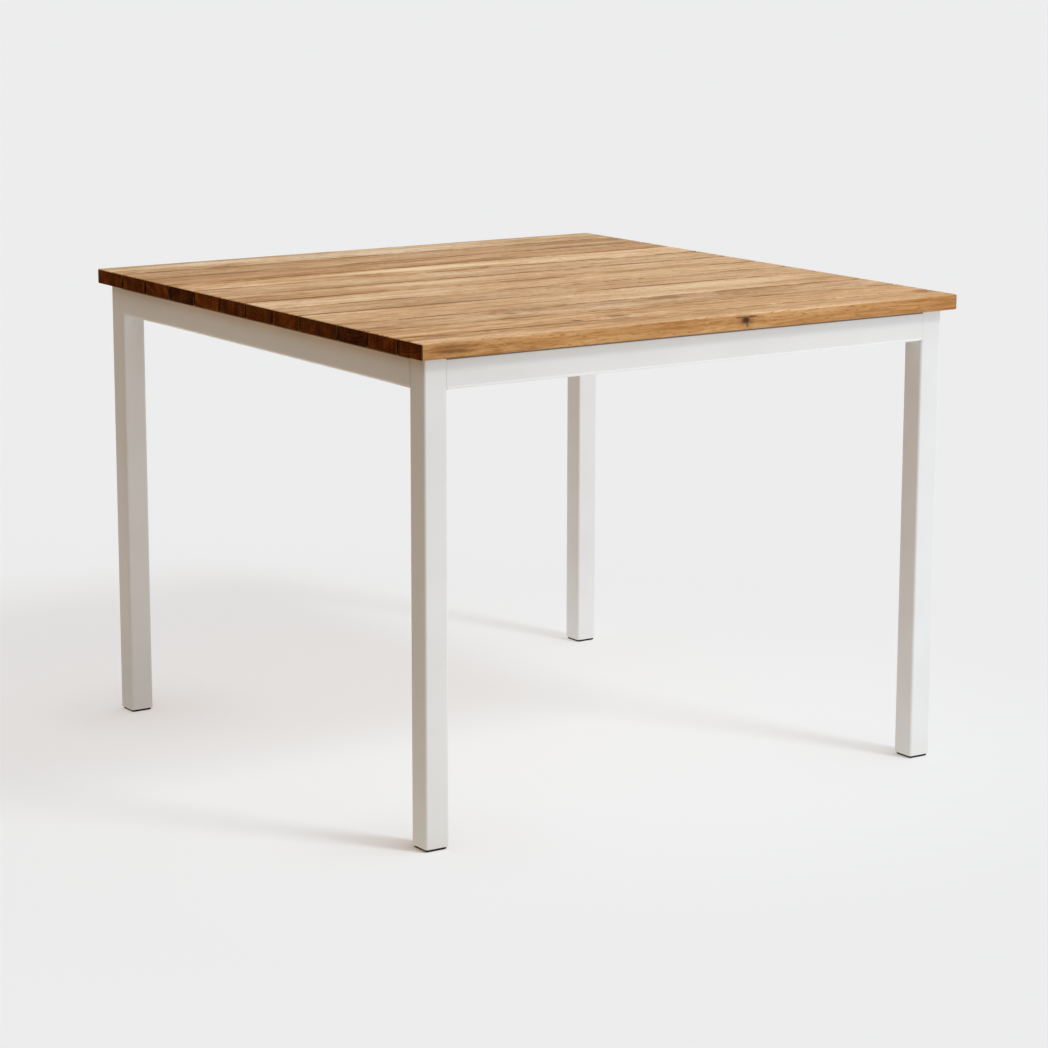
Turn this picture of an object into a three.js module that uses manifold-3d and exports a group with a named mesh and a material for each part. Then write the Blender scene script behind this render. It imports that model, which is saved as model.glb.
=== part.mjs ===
// Bistro table: a nearly square top of twelve wooden slats on a white frame of square tube.
// Four straight legs carry four aprons, flush with the legs' outer faces and coped to fit
// round the legs' rounded edges. Two cross bars between the front and back aprons hold the slats, each slat by one
// screw per bar. A bent steel plate and a bolt behind each leg pull its corner together,
// and each leg stands on a plastic glide pushed into its open end.
//
// Millimetres, +Z up. The origin is on the floor under the middle of the top. +X runs
// along the slats, to the right, and +Y from the narrow front slat to the back slat.

import * as THREE from 'three';
import { mergeVertices } from 'three/addons/utils/BufferGeometryUtils.js';
import Module from 'manifold-3d';

const wasm = await Module();
wasm.setup();

// ---- Driving dimensions ----

const TABLE_LENGTH = 985; // along the slats, X
const TABLE_DEPTH = 1020; // across the slats, Y
const TABLE_HEIGHT = 750;

const SLAT_THICKNESS = 24;
const SLAT_GAP = 3;
const SLAT_WIDTH = 80.5;
const WIDE_SLAT_WIDTH = 109;
const BACK_SLAT_WIDTH = 88;
const SLATS_BEFORE_WIDE = 2; // regular slats between the front slat and the wide one
const SLATS_BEHIND_WIDE = 7; // regular slats between the wide one and the back slat
const SLAT_EDGE_RADIUS = 2.5;
const SLAT_END_BEVEL = 2;

const LEG_SIDE = 40;
const LEG_INSET_X = 15; // from the ends of the slats to the legs
const LEG_INSET_Y = 19; // from the outer faces of the edge slats to the legs
const APRON_HEIGHT = 48;
const APRON_DEPTH = 25;
const BAR_WIDTH = 30;
const BAR_HEIGHT = 20;
const BAR_OFFSET = 225; // of each cross bar from the middle of the table
const TUBE_WALL = 2;
const TUBE_CORNER = 4;

const SCREW_DIAMETER = 4.5;
const SCREW_HEAD_DIAMETER = 9;
const SCREW_HEAD_HEIGHT = 3;
const SCREW_HEAD_CHAMFER = 1;
const SCREW_BITE = 16; // depth in the wood
const SCREW_POINT = 4;
const SCREW_HOLE_DIAMETER = 5.2;
const SCREW_APRON_CLEARANCE = 12; // least distance from a screw's axis to an apron

const PLATE_THICKNESS = 3;
const PLATE_HEIGHT = 38;
const PLATE_WING = 32;
const PLATE_REACH = 37; // from a leg's inner edge to the bend of each wing

const BOLT_DIAMETER = 8;
const BOLT_LENGTH = 40;
const BOLT_HEAD_ACROSS_FLATS = 13;
const BOLT_HEAD_HEIGHT = 5.5;
const BOLT_HOLE_DIAMETER = 9;
const FIT_GAP = 0.3; // between faces that nearly touch

const PAD_HEIGHT = 4;
const PAD_TOP_SIDE = 37.5;
const PAD_FLOOR_SIDE = 30;
const PAD_CORNER = 3;
const PLUG_SIDE = 28;
const PLUG_HEIGHT = 25;
const RIB_WIDTH = 3;
const RIB_OFFSET = 9; // of each rib from the middle of its face

const ARC_STEPS = 4; // per quarter circle
const ROUND_STEPS = 12; // per full circle
const OVERLAP = 1; // of two shapes that are joined into one solid

// ---- Places worked out from them ----

const slatBottom = TABLE_HEIGHT - SLAT_THICKNESS;
const apronMiddle = slatBottom - APRON_HEIGHT / 2;
const legOuterX = TABLE_LENGTH / 2 - LEG_INSET_X;
const legOuterY = TABLE_DEPTH / 2 - LEG_INSET_Y;
const legInnerX = legOuterX - LEG_SIDE;
const legInnerY = legOuterY - LEG_SIDE;
const apronInnerY = legOuterY - APRON_DEPTH;
const wingSetback = LEG_SIDE - APRON_DEPTH; // from a leg's inner edge to an apron's inner face

const legX = ({ sx }) => sx * (legOuterX - LEG_SIDE / 2);
const legY = ({ sy }) => sy * (legOuterY - LEG_SIDE / 2);

const corners = [
  { name: 'front_left', sx: -1, sy: -1 },
  { name: 'front_right', sx: 1, sy: -1 },
  { name: 'back_right', sx: 1, sy: 1 },
  { name: 'back_left', sx: -1, sy: 1 },
];

// ---- Materials ----

function finish(name, color, roughness, metalness) {
  return new THREE.MeshStandardMaterial({ name, color, roughness, metalness });
}

const wood = finish('wood', 0xc08a52, 0.55, 0);
const whiteCoat = finish('white_coat', 0xe6e4df, 0.45, 0);
const blackPlastic = finish('black_plastic', 0x1c1c1c, 0.6, 0);
const zincSteel = finish('zinc_steel', 0xa8aaad, 0.4, 0.9);

// ---- Solids ----

// A closed geometry as a solid that can be cut and joined.
function solid(geometry) {
  const shell = geometry.clone();
  shell.deleteAttribute('normal');
  shell.deleteAttribute('uv');
  const merged = mergeVertices(shell);
  return new wasm.Manifold(new wasm.Mesh({
    numProp: 3,
    vertProperties: new Float32Array(merged.attributes.position.array),
    triVerts: new Uint32Array(merged.index.array),
  }));
}

function geometryOf(body) {
  const mesh = body.getMesh();
  const geometry = new THREE.BufferGeometry();
  geometry.setAttribute('position', new THREE.BufferAttribute(mesh.vertProperties, 3));
  geometry.setIndex(new THREE.BufferAttribute(mesh.triVerts, 1));
  return geometry;
}

function cut(geometry, cutters) {
  const body = cutters.reduce((rest, cutter) => rest.subtract(solid(cutter)), solid(geometry));
  return geometryOf(body);
}

function join(geometries) {
  const [first, ...others] = geometries.map(solid);
  return geometryOf(others.reduce((whole, other) => whole.add(other), first));
}

// ---- Shapes ----

function roundedRectangle(width, height, radius, path = new THREE.Shape()) {
  const x = width / 2 - radius;
  const y = height / 2 - radius;
  path.absarc(x, -y, radius, -Math.PI / 2, 0);
  path.absarc(x, y, radius, 0, Math.PI / 2);
  path.absarc(-x, y, radius, Math.PI / 2, Math.PI);
  path.absarc(-x, -y, radius, Math.PI, Math.PI * 1.5);
  path.closePath();
  return path;
}

// A section extruded along +Z, from z = 0.
function extrude(section, length) {
  return new THREE.ExtrudeGeometry(section, {
    depth: length,
    bevelEnabled: false,
    curveSegments: ARC_STEPS,
  });
}

// A length of square or rectangular tube along +Z, from z = 0.
function tube(width, height, length) {
  const section = roundedRectangle(width, height, TUBE_CORNER);
  const boreWidth = width - 2 * TUBE_WALL;
  const boreHeight = height - 2 * TUBE_WALL;
  const boreCorner = TUBE_CORNER - TUBE_WALL;
  section.holes.push(roundedRectangle(boreWidth, boreHeight, boreCorner, new THREE.Path()));
  return extrude(section, length);
}

// Turns a length that stands on z = 0 to lie along X, centred on the origin. Its section's
// width then runs along Y and its height along Z.
function layAlongX(geometry, length) {
  return geometry.translate(0, 0, -length / 2).rotateX(Math.PI / 2).rotateZ(Math.PI / 2);
}

// The same along Y: the width runs along X and the height along Z.
function layAlongY(geometry, length) {
  return geometry.translate(0, 0, -length / 2).rotateX(Math.PI / 2);
}

// A round rod along +Z, from z = 0.
function rod(diameter, length, steps = ROUND_STEPS) {
  const radius = diameter / 2;
  return new THREE.CylinderGeometry(radius, radius, length, steps)
    .rotateX(Math.PI / 2)
    .translate(0, 0, length / 2);
}

// A body of revolution about Z from its profile's [radius, height] points, lowest first,
// which start and end on the axis.
function turned(points) {
  const profile = points.map(([radius, z]) => new THREE.Vector2(radius, z));
  return new THREE.LatheGeometry(profile, ROUND_STEPS).rotateX(Math.PI / 2);
}

// ---- Wooden top ----

// The slats' widths and middles, from the front one to the back one. The front slat takes
// what the others leave of the table's depth.
function slatLayout() {
  const behindFront = [
    ...Array(SLATS_BEFORE_WIDE).fill(SLAT_WIDTH),
    WIDE_SLAT_WIDTH,
    ...Array(SLATS_BEHIND_WIDE).fill(SLAT_WIDTH),
    BACK_SLAT_WIDTH,
  ];
  const taken = behindFront.reduce((sum, width) => sum + width + SLAT_GAP, 0);
  let edge = -TABLE_DEPTH / 2;
  return [TABLE_DEPTH - taken, ...behindFront].map((width, index) => {
    const middle = edge + width / 2;
    edge += width + SLAT_GAP;
    return { number: String(index + 1).padStart(2, '0'), width, middle };
  });
}

// A screw goes up through the middle of its slat, or beside the apron under an edge slat.
function screwY(slat) {
  const limit = apronInnerY - SCREW_APRON_CLEARANCE;
  return THREE.MathUtils.clamp(slat.middle, -limit, limit);
}

function slatGeometry(slat) {
  const inset = SLAT_END_BEVEL;
  const length = TABLE_LENGTH - 2 * inset;
  const section = roundedRectangle(slat.width, SLAT_THICKNESS, SLAT_EDGE_RADIUS);
  const board = new THREE.ExtrudeGeometry(section, {
    depth: length,
    bevelThickness: inset,
    bevelSize: inset,
    bevelOffset: -inset,
    bevelSegments: 1,
    curveSegments: ARC_STEPS,
  });
  layAlongX(board, length);
  const pilots = [-BAR_OFFSET, BAR_OFFSET].map((x) => (
    rod(SCREW_HOLE_DIAMETER, SCREW_BITE + FIT_GAP + OVERLAP)
      .translate(x, screwY(slat) - slat.middle, -SLAT_THICKNESS / 2 - OVERLAP)
  ));
  return cut(board, pilots);
}

// A screw whose head's top is at z = 0, pointing up.
function slatScrewGeometry() {
  const radius = SCREW_DIAMETER / 2;
  const headRadius = SCREW_HEAD_DIAMETER / 2;
  const tip = BAR_HEIGHT + SCREW_BITE;
  return turned([
    [0, -SCREW_HEAD_HEIGHT],
    [headRadius - SCREW_HEAD_CHAMFER, -SCREW_HEAD_HEIGHT],
    [headRadius, SCREW_HEAD_CHAMFER - SCREW_HEAD_HEIGHT],
    [headRadius, 0],
    [radius, 0],
    [radius, tip - SCREW_POINT],
    [0, tip],
  ]);
}

// ---- Frame ----

// A tube between two legs, lying along X or Y in its final place. Its ends reach into the
// legs' rounded outer edges, and are coped to clear the legs by the fit gap.
function apronGeometry(lay, innerSpan, x, y) {
  const length = innerSpan + 2 * TUBE_CORNER;
  const width = APRON_DEPTH;
  const apron = lay(tube(width, APRON_HEIGHT, length), length).translate(x, y, apronMiddle);
  const side = LEG_SIDE + 2 * FIT_GAP;
  const copes = corners.map((corner) => (
    extrude(roundedRectangle(side, side, TUBE_CORNER + FIT_GAP), slatBottom)
      .translate(legX(corner), legY(corner), OVERLAP)
  ));
  return cut(apron, copes);
}

function legGeometry({ sx, sy }) {
  const leg = tube(LEG_SIDE, LEG_SIDE, slatBottom - PAD_HEIGHT);
  const hole = alongDiagonal(rod(BOLT_HOLE_DIAMETER, LEG_SIDE / 2), { sx, sy })
    .translate(-sx * LEG_SIDE / 4, -sy * LEG_SIDE / 4, apronMiddle - PAD_HEIGHT);
  return cut(leg, [hole]);
}

// Turns a rod that stands on the origin to point from a leg's middle to the table's.
function alongDiagonal(geometry, { sx, sy }) {
  return geometry.rotateY(Math.PI / 2).rotateZ(Math.atan2(-sy, -sx));
}

function crossBarGeometry(slats) {
  const length = 2 * apronInnerY;
  const bar = layAlongY(tube(BAR_WIDTH, BAR_HEIGHT, length), length);
  const holes = slats.map((slat) => (
    rod(SCREW_HOLE_DIAMETER, BAR_HEIGHT + 2 * OVERLAP)
      .translate(0, screwY(slat), -BAR_HEIGHT / 2 - OVERLAP)
  ));
  return cut(bar, holes);
}

// The plate's outline from above: a wing flat on each apron and a straight middle across
// the corner. a and b are the distances from the leg's inner edge towards the table's
// middle along X and Y.
function cornerPlateGeometry({ sx, sy }) {
  const back = -wingSetback;
  const face = back + PLATE_THICKNESS;
  const bend = PLATE_REACH + PLATE_THICKNESS * Math.tan(Math.PI / 8);
  const end = PLATE_REACH + PLATE_WING;
  const outline = [
    [back, end],
    [back, PLATE_REACH],
    [PLATE_REACH, back],
    [end, back],
    [end, face],
    [bend, face],
    [face, bend],
    [face, end],
  ];
  const points = outline.map(([a, b]) => (
    new THREE.Vector2(sx * (legInnerX - a), sy * (legInnerY - b))
  ));
  const plate = extrude(new THREE.Shape(points), PLATE_HEIGHT)
    .translate(0, 0, apronMiddle - PLATE_HEIGHT / 2);
  const hole = alongDiagonal(rod(BOLT_HOLE_DIAMETER, PLATE_REACH), { sx, sy })
    .translate(sx * legInnerX, sy * legInnerY, apronMiddle);
  return cut(plate, [hole]);
}

// A hexagon bolt along +Z whose head sits on z = 0 and whose shank hangs below it.
function legBoltGeometry() {
  const head = rod(BOLT_HEAD_ACROSS_FLATS / Math.cos(Math.PI / 6), BOLT_HEAD_HEIGHT, 6);
  const shank = rod(BOLT_DIAMETER, BOLT_LENGTH + OVERLAP).translate(0, 0, -BOLT_LENGTH);
  return join([head, shank]);
}

// A square outline with two ribs on each side that reach the inside of the leg.
function ribbedSquare() {
  const core = PLUG_SIDE / 2;
  const reach = LEG_SIDE / 2 - TUBE_WALL - FIT_GAP;
  const half = RIB_WIDTH / 2;
  const side = [[core, -core]];
  for (const middle of [-RIB_OFFSET, RIB_OFFSET]) {
    side.push([core, middle - half], [reach, middle - half]);
    side.push([reach, middle + half], [core, middle + half]);
  }
  const outline = [0, 1, 2, 3].flatMap((turns) => (
    side.map(([x, y]) => [[x, y], [-y, x], [-x, -y], [y, -x]][turns])
  ));
  return new THREE.Shape(outline.map(([x, y]) => new THREE.Vector2(x, y)));
}

// A square pad that narrows towards the floor, under a plug that fills the leg's open end.
function glideGeometry() {
  const pad = extrude(roundedRectangle(PAD_TOP_SIDE, PAD_TOP_SIDE, PAD_CORNER), PAD_HEIGHT);
  const position = pad.attributes.position;
  const taper = PAD_FLOOR_SIDE / PAD_TOP_SIDE;
  for (let i = 0; i < position.count; i += 1) {
    if (position.getZ(i) === 0) {
      position.setX(i, position.getX(i) * taper);
      position.setY(i, position.getY(i) * taper);
    }
  }
  const plug = extrude(ribbedSquare(), PLUG_HEIGHT + OVERLAP)
    .translate(0, 0, PAD_HEIGHT - OVERLAP);
  return join([pad, plug]);
}

// ---- Assembly ----

const table = new THREE.Group();

function add(name, geometry, material, x = 0, y = 0, z = 0) {
  const mesh = new THREE.Mesh(geometry, material);
  mesh.name = name;
  mesh.position.set(x, y, z);
  table.add(mesh);
  return mesh;
}

const slats = slatLayout();
for (const slat of slats) {
  const middleZ = slatBottom + SLAT_THICKNESS / 2;
  add(`slat_${slat.number}`, slatGeometry(slat), wood, 0, slat.middle, middleZ);
}

const sides = [
  { name: 'left', sx: -1 },
  { name: 'right', sx: 1 },
];
const barMiddle = slatBottom - BAR_HEIGHT / 2;
for (const { name, sx } of sides) {
  const x = sx * BAR_OFFSET;
  add(`cross_bar_${name}`, crossBarGeometry(slats), whiteCoat, x, 0, barMiddle);
  for (const slat of slats) {
    add(`slat_screw_${name}_${slat.number}`, slatScrewGeometry(), zincSteel,
      x, screwY(slat), slatBottom - BAR_HEIGHT);
  }
}

for (const { name, sx } of sides) {
  const x = sx * (legOuterX - APRON_DEPTH / 2);
  add(`apron_${name}`, apronGeometry(layAlongY, 2 * legInnerY, x, 0), whiteCoat);
}
for (const [name, sy] of [['front', -1], ['back', 1]]) {
  const y = sy * (legOuterY - APRON_DEPTH / 2);
  add(`apron_${name}`, apronGeometry(layAlongX, 2 * legInnerX, 0, y), whiteCoat);
}

// From a leg's inner edge to the bolt head, along the diagonal.
const boltSeat = (PLATE_REACH - wingSetback) / Math.SQRT2 + PLATE_THICKNESS + FIT_GAP;
for (const corner of corners) {
  const { name, sx, sy } = corner;
  const x = legX(corner);
  const y = legY(corner);
  add(`leg_${name}`, legGeometry(corner), whiteCoat, x, y, PAD_HEIGHT);
  add(`glide_${name}`, glideGeometry(), blackPlastic, x, y);
  add(`corner_plate_${name}`, cornerPlateGeometry(corner), zincSteel);
  add(`leg_bolt_${name}`, alongDiagonal(legBoltGeometry(), corner), zincSteel,
    sx * (legInnerX - boltSeat / Math.SQRT2),
    sy * (legInnerY - boltSeat / Math.SQRT2),
    apronMiddle);
}

export default table;
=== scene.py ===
"""The looks of the bistro table: twelve oiled slats on a white powder-coated steel frame.

Everything is in metres, +Z up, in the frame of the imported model. Each CAD node is stood for
by a finer mesh in the same place, and every material is made of nodes.
"""

import math
import random

import bmesh
import bpy
from mathutils import Matrix, Vector, noise


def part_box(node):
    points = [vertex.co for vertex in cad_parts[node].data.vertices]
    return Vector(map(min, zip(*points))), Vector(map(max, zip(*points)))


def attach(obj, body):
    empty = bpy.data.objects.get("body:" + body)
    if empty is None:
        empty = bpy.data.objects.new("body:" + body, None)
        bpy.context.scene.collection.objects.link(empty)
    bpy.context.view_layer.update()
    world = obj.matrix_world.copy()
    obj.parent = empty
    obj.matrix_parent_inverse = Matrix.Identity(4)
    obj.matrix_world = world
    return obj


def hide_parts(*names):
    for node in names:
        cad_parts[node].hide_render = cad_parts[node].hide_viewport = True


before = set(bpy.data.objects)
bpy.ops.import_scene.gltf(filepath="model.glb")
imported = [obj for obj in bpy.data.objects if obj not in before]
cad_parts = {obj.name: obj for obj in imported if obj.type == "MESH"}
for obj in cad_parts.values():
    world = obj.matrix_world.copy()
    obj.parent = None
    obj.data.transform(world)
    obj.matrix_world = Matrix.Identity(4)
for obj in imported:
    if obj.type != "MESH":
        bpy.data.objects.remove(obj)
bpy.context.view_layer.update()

MM = 0.001
BODY = "root"

# ---- Camera ----

LENS = 109.98
CAMERA_PLACE = (-2.8263, -4.2831, 1.4064)
CAMERA_AZIMUTH = -33.589
CAMERA_ELEVATION = 11.629
CAMERA_ROLL = 0.096
SENSOR_WIDTH = 36
CLIP_END = 200

# ---- Sizes that the CAD boxes don't give ----

SLAT_EDGE_RADIUS = 2.5 * MM
SLAT_END_RADIUS = 2 * MM
SLAT_RINGS = 44
SLAT_EDGE_STEPS = 6
SLAT_SPANS = (1, 9)
SLAT_WAVE = 0.22 * MM
SLAT_HOLLOW = 0.2 * MM
TUBE_WALL = 2 * MM
TUBE_CORNER = 4 * MM
TUBE_DEBURR = 0.5 * MM
PLATE_THICKNESS = 3 * MM
PLATE_REACH = 37 * MM
PLATE_WING = 32 * MM
PLATE_BEND_RADIUS = 4 * MM
PLATE_EASE = 0.35 * MM
BOLT_DIAMETER = 8 * MM
BOLT_PITCH = 1.25 * MM
BOLT_LENGTH = 40 * MM
BOLT_ACROSS_FLATS = 13 * MM
BOLT_HEAD_HEIGHT = 5.5 * MM
BOLT_WASHER_FACE = 0.3 * MM
BOLT_HOLE = BOLT_DIAMETER + 1 * MM
SCREW_DIAMETER = 4.5 * MM
SCREW_PITCH = 2 * MM
SCREW_HEAD_DIAMETER = 9 * MM
SCREW_HEAD_HEIGHT = 3 * MM
SCREW_HEAD_ROUND = 2.2 * MM
SCREW_POINT = 5 * MM
SCREW_LENGTH = 36 * MM
SHANK_OVERLAP = 0.1 * MM
PAD_TOP_SIDE = 36.5 * MM
PAD_FLOOR_SIDE = 34 * MM
PAD_HEIGHT = 4 * MM
PAD_CORNER = 3 * MM
PAD_ROUND = 0.8 * MM
PLUG_SIDE = 28 * MM
PLUG_HEIGHT = 25 * MM
RIB_WIDTH = 3 * MM
RIB_OFFSET = 9 * MM
WELD_RADIUS = 2.2 * MM
WELD_STEP = 0.7 * MM
WELD_RIPPLE = 2.6 * MM
WELD_TOP_GAP = 2 * MM
WELD_SIDES = 12

ARC_STEPS = 8
TURN_STEPS = 48
HEAD_STEPS = 72
SHARP_ANGLE = 40

# ---- Places taken from the CAD boxes ----

SLATS = sorted(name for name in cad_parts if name.startswith("slat_") and "screw" not in name)
SLAT_SCREWS = sorted(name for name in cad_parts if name.startswith("slat_screw_"))
CORNERS = ("front_left", "front_right", "back_right", "back_left")
leg_low, leg_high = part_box("leg_front_right")
apron_low, apron_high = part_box("apron_front")
LEG_INNER_X = leg_low.x
LEG_INNER_Y = -leg_high.y
LEG_BORE = leg_high.x - leg_low.x - 2 * TUBE_WALL
APRON_MIDDLE = (apron_low.z + apron_high.z) / 2
PLATE_SETBACK = -apron_high.y - LEG_INNER_Y
FOOT_X = (leg_low.x + leg_high.x) / 2
FOOT_Y = -(leg_low.y + leg_high.y) / 2

# ---- Tones of the slats, from the front one to the back one ----

# Brightness and warmth of each face.
TOP_TONES = (
    (1.04, 0.03), (1.06, 0.03), (0.92, 0.06), (1.01, 0.03), (0.95, 0.06), (1.03, 0.0),
    (1.0, 0.02), (0.96, 0.04), (1.07, 0.03), (0.86, 0.26), (0.88, 0.16), (1.05, -0.24),
)
# Brightness of each sawn end.
END_TONES = (1.0, 1.15, 0.65, 0.95, 1.15, 0.8, 0.9, 1.35, 0.6, 1.3, 1.15, 1.2)

# ---- Light ----

BACKDROP = 0.847
# What the world sends from the left, through the middle, to the right.
WORLD_AROUND = (
    (0.0, (0.21, 0.125, 0.050)),
    (0.28, (0.26, 0.165, 0.075)),
    (0.44, (0.62, 0.61, 0.61)),
    (0.57, (0.73, 0.79, 0.85)),
    (1.0, (0.66, 0.71, 0.75)),
)
WORLD_OVERHEAD = (0.83, 0.83, 0.83)
KEY_PLACE = (1.9, -3.9, 4.6)
KEY_RADIUS = 0.65
KEY_POWER = 370.0
KEY_COLOR = (0.98, 1.0, 1.02)
FLOOR_SHADE = (0.40, 0.445, 0.47)
# How much darker the shadows are round the left feet and round the right ones.
FOOT_SHADES = (0.95, 0.25)
FOOT_SHADE_REACH = (0.02, 0.27)
FOOT_TOUCH_REACH = (0.02, 0.08)
FOOT_TOUCH_SHADE = 0.3
# Painted light on the floor under the table, which lifts the shade that the table casts there.
UNDER_TABLE = (0.085, 0.098, 0.106)
UNDER_TABLE_REACH = 1.25
SKY_ON_FLOOR = 0.58
# What the floor sends back to the table, from its left to its right.
FLOOR_RETURNS = (
    (0.0, (0.20, 0.125, 0.06)),
    (0.21, (0.32, 0.215, 0.115)),
    (0.30, (0.45, 0.35, 0.235)),
    (0.41, (0.56, 0.485, 0.385)),
    (0.525, (0.67, 0.62, 0.54)),
    (0.64, (0.80, 0.78, 0.75)),
    (0.73, (0.88, 0.88, 0.87)),
    (0.82, (1.00, 1.03, 1.06)),
)
FRONT_RETURNS = (0.99, 1.03, 1.07)
SHADOW_RETURNS = (0.10, 0.06, 0.03)
SHADOW_PLACE = (-0.62, 0.38, 0)
FLOOR_SIZE = 60
FLOOR_DROP = 0.2 * MM
FLOOR_LIGHT_SPREAD = 12
FLOOR_LIGHT_HEIGHT = 5 * MM


# ---- Node helper ----

class Graph:
    """A node tree with short calls for the nodes that the materials use."""

    def __init__(self, tree):
        self.tree = tree
        tree.nodes.clear()

    def feed(self, socket, value):
        if isinstance(value, bpy.types.NodeSocket):
            self.tree.links.new(value, socket)
        else:
            socket.default_value = value

    def node(self, kind, inputs=None, **settings):
        made = self.tree.nodes.new(kind)
        for name, value in settings.items():
            setattr(made, name, value)
        for name, value in (inputs or {}).items():
            self.feed(made.inputs[name], value)
        return made

    def math(self, operation, *values):
        made = self.node("ShaderNodeMath", dict(enumerate(values)), operation=operation)
        return made.outputs[0]

    def add(self, a, b):
        return self.math("ADD", a, b)

    def times(self, a, b):
        return self.math("MULTIPLY", a, b)

    def mapped(self, value, low, high, to_low=0.0, to_high=1.0, smooth=True):
        kind = "SMOOTHSTEP" if smooth else "LINEAR"
        inputs = {0: value, 1: low, 2: high, 3: to_low, 4: to_high}
        return self.node("ShaderNodeMapRange", inputs, interpolation_type=kind).outputs[0]

    def ramp(self, value, stops):
        made = self.node("ShaderNodeValToRGB", {0: value})
        elements = made.color_ramp.elements
        while len(elements) < len(stops):
            elements.new(0.5)
        for element, (position, color) in zip(elements, stops):
            element.position = position
            element.color = (*color, 1)
        return made.outputs[0]

    def mix(self, factor, a, b, blend="MIX"):
        made = self.node("ShaderNodeMix", data_type="RGBA", blend_type=blend)
        for index, value in ((0, factor), (6, a), (7, b)):
            if isinstance(value, tuple) and len(value) == 3:
                value = (*value, 1)
            self.feed(made.inputs[index], value)
        return made.outputs[2]

    def stretched(self, vector, scale, shift=(0, 0, 0)):
        inputs = {"Vector": vector, "Scale": scale, "Location": shift}
        return self.node("ShaderNodeMapping", inputs).outputs[0]

    def noise(self, vector, scale=1.0, detail=2.0, roughness=0.5):
        inputs = {"Vector": vector, "Scale": scale, "Detail": detail, "Roughness": roughness}
        return self.node("ShaderNodeTexNoise", inputs).outputs[0]

    def vector(self, operation, a, b=None, scale=None):
        inputs = {0: a}
        if b is not None:
            inputs[1] = b
        if scale is not None:
            inputs["Scale"] = scale
        made = self.node("ShaderNodeVectorMath", inputs, operation=operation)
        return made.outputs["Value" if operation in ("LENGTH", "DOT_PRODUCT") else "Vector"]

    def parts(self, vector):
        return self.node("ShaderNodeSeparateXYZ", {0: vector}).outputs

    def place(self):
        return self.node("ShaderNodeTexCoord").outputs["Object"]

    def bump(self, height, distance, strength=1.0):
        inputs = {"Height": height, "Distance": distance, "Strength": strength}
        return self.node("ShaderNodeBump", inputs).outputs[0]

    def surface(self, **inputs):
        named = {name.replace("_", " "): value for name, value in inputs.items()}
        shader = self.node("ShaderNodeBsdfPrincipled", named)
        self.node("ShaderNodeOutputMaterial", {"Surface": shader.outputs[0]})


def new_material(name):
    material = bpy.data.materials.new(name)
    material.use_nodes = True
    return material, Graph(material.node_tree)


# ---- Wood ----

WOOD_PALE = (0.82, 0.575, 0.335)
WOOD_MIDDLE = (0.65, 0.39, 0.182)
WOOD_BROWN = (0.44, 0.213, 0.062)
WOOD_DARK = (0.19, 0.077, 0.013)
WOOD_SAP = (0.90, 0.71, 0.43)
# Dark band towards a gap: partly a real stain, partly painted shade.
WOOD_STAIN_AND_SHADE = (0.26, 0.110, 0.020)
SIDE_TINT = (0.80, 0.66, 0.46)
KNOT_DARK = (0.060, 0.022, 0.008)
# Painted shade for the gap below the slats' eased edges.
GAP_PAINTED_SHADE = (0.022, 0.009, 0.003)
END_LIGHT = (0.22, 0.062, 0.006)
END_MIDDLE = (0.098, 0.021, 0.0015)
END_DARK = (0.014, 0.0035, 0.001)
# Painted highlight for the ends' rounded edges that face the front.
END_PAINTED_HIGHLIGHT = (0.30, 0.15, 0.06)
MARK_TINTS = {"pale": WOOD_SAP, "knot": KNOT_DARK, "dark": WOOD_DARK}
RING_SPACING = 5.5 * MM
SLAT_MIDDLE_HEIGHT = 0.738
# Below a slat's eased edge, where the gap is dark with painted shade.
SUNKEN_HEIGHTS = (0.7465, 0.7485)


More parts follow.
